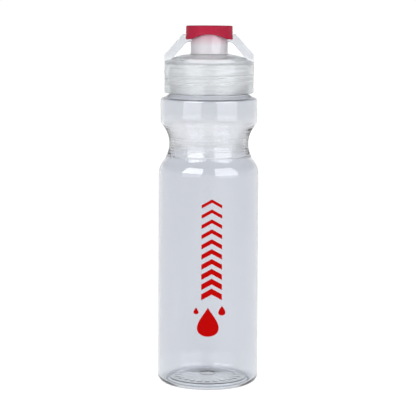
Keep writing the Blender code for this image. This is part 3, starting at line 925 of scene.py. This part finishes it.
def make_lid():
    step = ROOF_BASE - RIM_HEIGHT
    roof = roof_outline(TUBE_RADIUS + ROOF_ROUND * 2, RIM_RADIUS, 0, ROOF_ROWS)
    outside = rounded(
        [
            ((TUBE_BORE + TUBE_RADIUS) / 2, TUBE_TOP, 0),
            (TUBE_RADIUS, TUBE_TOP, TUBE_ROUND),
            (TUBE_RADIUS, roof_height(TUBE_RADIUS), ROOF_ROUND),
            roof[0] + (0,),
        ],
        ROOF_ARC_STEP,
    )
    outside += roof[1:]
    outside += rounded(
        [
            (RIM_RADIUS, step, RIM_PROUD / 2),
            (SKIRT_OUTER, step - RIM_PROUD, RIM_PROUD / 2),
            (SKIRT_OUTER, SKIRT_LOW, SKIRT_ROUND),
            (SKIRT_INNER, SKIRT_LOW, SKIRT_ROUND),
            (SKIRT_INNER, SKIRT_LOW + 2 * SKIRT_ROUND, 0),
        ],
        EDGE_ARC_STEP,
    )
    first_inner = len(outside) - 1
    thread_top = LIP - THREAD_TOP_DROP - (THREAD_ROOT + THREAD_CREST) / 2 - FIT
    wall = [(SKIRT_INNER, SKIRT_LOW + 2 * SKIRT_ROUND), (SKIRT_INNER, CEILING)]
    wall = refined(wall, SKIRT_LOW, thread_top + THREAD_ROOT, THREAD_STEP)
    last_inner = first_inner + len(wall)
    inner_roof = roof_outline(TUBE_RADIUS, LEDGE_RADIUS, ROOF_WALL, CEILING_ROWS)
    ceiling = [(LEDGE_RADIUS, CEILING)] + inner_roof[::-1]
    tube = rounded(
        [
            (TUBE_RADIUS, TUBE_LOW, 0),
            (TUBE_BORE, TUBE_LOW, 0),
            (TUBE_BORE, TUBE_TOP, TUBE_ROUND),
            ((TUBE_BORE + TUBE_RADIUS) / 2, TUBE_TOP, 0),
        ],
        EDGE_ARC_STEP,
    )
    outline = outside[:-1] + wall + ceiling + tube[:-1]

    def shape(row, angle, radius, height):
        if first_inner < row < last_inner - 1:
            return radius - ridge(angle, height, thread_top), height
        return radius, height

    lid = lathe("frosted_lid", outline, LID_SEGMENTS, closed=True, shape=shape)
    join(lid, make_arms())
    return dress(shade(lid), frosted_plastic(), "lid", "frosted_plastic", "lid")


def join(obj, other):
    """Unites another object with this one."""
    union = obj.modifiers.new("union", "BOOLEAN")
    union.operation = "UNION"
    union.solver = "EXACT"
    union.object = other
    apply_modifiers(obj)
    bpy.data.objects.remove(other)


def arm_half_width(height):
    share = (height - ARM_FOOT) / (ARM_TOP - ARM_FOOT)
    return ARM_FOOT_HALF_WIDTH + (ARM_TOP_HALF_WIDTH - ARM_FOOT_HALF_WIDTH) * share


def arm_outline():
    """An arm from the side, as (out, up) places: its outer edge up to the tube and its loop down again."""
    in_tube = TUBE_RADIUS - TUBE_WALL / 2
    corner = TUBE_RADIUS + ARM_REACH_IN
    slant = Vector((corner - ARM_REACH, ARM_TOP - ARM_ELBOW)).normalized()
    inner = Vector((ARM_REACH, ARM_ELBOW)) + Vector((-slant.y, slant.x)) * ARM_THICKNESS
    loop_corner = inner + slant * (WEB_LOW - inner.y) / slant.y
    root = inner.copy()
    while root.y < roof_height(root.x) - ROOF_WALL / 2:
        root += slant * FIT
    return rounded(
        [
            (ARM_REACH, ARM_FOOT, 0),
            (ARM_REACH, ARM_ELBOW, ELBOW_ROUND),
            (corner, ARM_TOP, CORNER_ROUND),
            (in_tube, ARM_TOP, 0),
            (in_tube, WEB_LOW, 0),
            (*loop_corner, LOOP_ROUND),
            (*root, 0),
            (ARM_REACH - ARM_FOOT_DEPTH, ARM_FOOT, 0),
        ],
        ARM_ARC_STEP,
    )


def make_arms():
    """Both arms. They narrow upwards, have rounded edges and stay within the lid's circle."""
    bm = bmesh.new()
    outline = arm_outline()
    for side in (1, -1):
        faces = []
        for front in (-1, 1):
            verts = [bm.verts.new((side * x, front * arm_half_width(z), z)) for x, z in outline]
            faces.append(verts)
            bm.faces.new(verts)
        for k in range(len(outline)):
            bm.faces.new((faces[0][k - 1], faces[0][k], faces[1][k], faces[1][k - 1]))
    bmesh.ops.recalc_face_normals(bm, faces=bm.faces)
    bmesh.ops.bevel(
        bm,
        geom=[e for e in bm.edges if e.calc_face_angle(0) > ARM_EDGE_ANGLE and on_side(e)],
        offset=ARM_EDGE_ROUND,
        segments=ARM_EDGE_ROWS,
        profile=ARM_EDGE_PROFILE,
        affect="EDGES",
    )
    for vert in bm.verts:
        radius = math.hypot(vert.co.x, vert.co.y)
        if radius > ARM_REACH:
            vert.co.x *= math.sqrt(ARM_REACH**2 - vert.co.y**2) / abs(vert.co.x)
    return from_bmesh("arms", bm)


def on_side(edge):
    """True for the edges round an arm's flat front and back, away from its roots."""
    first, second = (vert.co for vert in edge.verts)
    along = first.y * second.y > 0
    inside = max(abs(first.x), abs(second.x)) < TUBE_RADIUS
    low = max(first.z, second.z) < ARM_FOOT + FIT
    return along and not inside and not low


# Pull cap


def cap_edge(angle):
    """Height of the cap's lower edge: arches in front and behind, slots for the arms' webs at its sides."""
    radius = CAP_RADIUS + CAP_SPREAD
    across = abs(radius * math.cos(angle))
    half_span = radius - ARCH_SIDE
    bow = (half_span**2 + ARCH_RISE**2) / (2 * ARCH_RISE)
    arch = 0.0
    if across < half_span:
        arch = ARCH_RISE - (bow - math.sqrt(bow**2 - across**2))
    arch = ARCH_SOFTNESS * math.log(1 + math.exp((arch - ARCH_SINK) / ARCH_SOFTNESS))
    side = abs(radius * math.sin(angle))
    half_width = arm_half_width(CAP_LOW) + NOTCH_CLEARANCE
    in_slot = 1 - smooth(half_width, half_width + NOTCH_BLEND, side)
    slot = (ARM_TOP + NOTCH_CLEARANCE - CAP_LOW) * in_slot
    return CAP_LOW + max(arch if across < radius * ARCH_SHARE else 0.0, slot)


def make_cap():
    flare_top = CAP_LOW + FLARE_HEIGHT
    foot = CAP_RADIUS + CAP_SPREAD
    section = rounded(
        [
            (HOLE_RADIUS, CAP_TOP - DISH_DEPTH - HOLE_STEP, 0),
            (HOLE_RADIUS, CAP_TOP - DISH_DEPTH, HOLE_ROUND),
            (DISH_RADIUS, CAP_TOP - DISH_DEPTH, DISH_ROUND),
            (DISH_RADIUS + DISH_DEPTH, CAP_TOP, DISH_ROUND),
            (CAP_RADIUS, CAP_TOP, CAP_ROUND),
            (CAP_RADIUS, flare_top, FLARE_HEIGHT),
            (foot, CAP_LOW, LIP_ROUND),
            (foot - CAP_WALL, CAP_LOW, LIP_ROUND),
            (CAP_RADIUS - CAP_WALL, flare_top, FLARE_HEIGHT),
            (CAP_RADIUS - CAP_WALL, PLATE_LOW, CAP_WALL / 3),
            (SLEEVE_RADIUS, PLATE_LOW, 0),
            (SLEEVE_RADIUS, SLEEVE_LOW, SLEEVE_WALL / 4),
            (SLEEVE_RADIUS - SLEEVE_WALL, SLEEVE_LOW, SLEEVE_WALL / 4),
            (SLEEVE_RADIUS - SLEEVE_WALL, PLATE_LOW, 0),
            (HOLE_RADIUS, PLATE_LOW, 0),
        ],
        CAP_ARC_STEP,
    )
    section = refined(section, CAP_LOW, flare_top, FLARE_STEP)
    flare = rounded([(CAP_RADIUS, CAP_TOP, 0), (CAP_RADIUS, flare_top, FLARE_HEIGHT), (foot, CAP_LOW, 0)])

    def shape(_, angle, radius, height):
        if radius < TUBE_RADIUS or height > PLATE_LOW:
            return radius, height
        share = (PLATE_LOW - height) / (PLATE_LOW - CAP_LOW)
        moved = PLATE_LOW - share * (PLATE_LOW - cap_edge(angle))
        return radius + radius_at(flare, moved) - radius_at(flare, height), moved

    cap = lathe("red_pull_cap", section, CAP_SEGMENTS, closed=True, shape=shape)
    return dress(shade(cap), red_plastic(), "cap", "red_plastic", "pull_cap")


# Scene


def make_floor():
    bm = bmesh.new()
    bmesh.ops.create_circle(bm, cap_ends=True, segments=FLOOR_SEGMENTS, radius=FLOOR_RADIUS)
    floor = from_bmesh("floor", bm)
    material = principled(
        "floor_white",
        Roughness=FLOOR_ROUGHNESS,
        Base_Color=FLOOR_GREY,
        Emission_Color=WHITE,
        Emission_Strength=FLOOR_GLOW,
    )[0]
    floor.data.materials.append(material)
    floor.visible_diffuse = False


def softbox(name, azimuth, distance, width, low, height, radiance, fills=False):
    """A light panel that faces the bottle, seen in shiny and clear surfaces, or else filling dull ones."""
    light = bpy.data.lights.new(name, "AREA")
    light.shape = "RECTANGLE"
    light.size = width
    light.size_y = height
    light.energy = radiance * math.pi * width * height
    lamp = new_object(name, light)
    angle = math.radians(azimuth)
    lamp.location = (distance * math.sin(angle), -distance * math.cos(angle), low + height / 2)
    aim = Vector((0, 0, lamp.location.z)) - lamp.location
    lamp.rotation_euler = aim.to_track_quat("-Z", "Y").to_euler()
    lamp.visible_camera = False
    lamp.visible_diffuse = fills
    lamp.visible_glossy = not fills
    lamp.visible_transmission = not fills


def make_world():
    """Surroundings in greys that follow how far a direction rises."""
    world = bpy.data.worlds.new("studio")
    world.use_nodes = True
    tree = world.node_tree
    place = tree.nodes.new("ShaderNodeTexCoord")
    parts = tree.nodes.new("ShaderNodeSeparateXYZ")
    ramp = tree.nodes.new("ShaderNodeValToRGB")
    height = tree.nodes.new("ShaderNodeMapRange")
    height.inputs["From Min"].default_value = -1
    elements = ramp.color_ramp.elements
    elements.remove(elements[0])
    elements[0].position = 0
    elements[0].color = WORLD_LOWEST
    for rise, grey in WORLD_GREYS:
        elements.new((rise + 1) / 2).color = colour(*(grey * part for part in WORLD_TINT))
    tree.links.new(place.outputs["Generated"], parts.inputs["Vector"])
    tree.links.new(parts.outputs["Z"], height.inputs["Value"])
    tree.links.new(height.outputs["Result"], ramp.inputs["Fac"])
    tree.links.new(ramp.outputs["Color"], tree.nodes["Background"].inputs["Color"])
    bpy.context.scene.world = world


def make_camera():
    camera = new_object("camera", bpy.data.cameras.new("camera"))
    camera.data.lens = CAMERA_LENS
    camera.data.sensor_width = CAMERA_SENSOR
    camera.data.clip_start, camera.data.clip_end = CAMERA_CLIP
    camera.location = CAMERA_PLACE
    aim = Vector(CAMERA_AIM) - camera.location
    roll = Matrix.Rotation(CAMERA_ROLL, 4, aim.normalized())
    turn = roll @ aim.to_track_quat("-Z", "Y").to_matrix().to_4x4()
    camera.rotation_euler = turn.to_euler()
    bpy.context.scene.camera = camera


def main():
    make_camera()
    make_world()
    make_floor()
    for panel in SOFTBOXES:
        softbox(*panel)
    softbox(*FRONT_FILL, fills=True)
    bpy.context.scene.view_settings.view_transform = "Standard"
    make_body()
    make_print()
    make_lid()
    make_cap()
    for node, material in (("lid_seal", seal_silicone()), ("valve_seat", milky_plastic())):
        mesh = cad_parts[node].data
        mesh.materials.clear()
        mesh.materials.append(material)


main()
